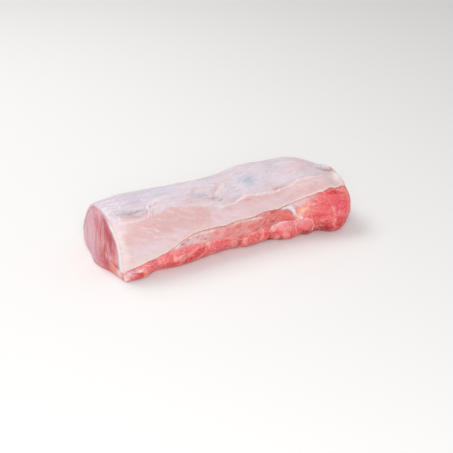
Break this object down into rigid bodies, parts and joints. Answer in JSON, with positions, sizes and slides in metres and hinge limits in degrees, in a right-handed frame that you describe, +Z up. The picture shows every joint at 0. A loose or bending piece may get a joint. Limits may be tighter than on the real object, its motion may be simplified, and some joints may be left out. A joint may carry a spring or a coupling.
{
  "type": "frozen pork loin",
  "caption": "Boneless raw pork loin joint: a long rounded piece of lean meat with a cap of pale fat over its top, front and back, cut across at both ends.",
  "frame": {"origin": "middle of the box round the loin, on the surface that it rests on", "axes": "+X along the loin, from the cut face that shows to the other one; +Y from the side that shows to the hidden one; +Z up"},
  "size_m": [0.3448, 0.1342, 0.0837],
  "materials": {
    "lean": "moist raw meat, semi-gloss",
    "fat": "smooth raw fat, slightly waxy"
  },
  "bodies": {
    "root": {"lean_loin": "lean", "fat_cap": "fat"}
  },
  "joints": []
}
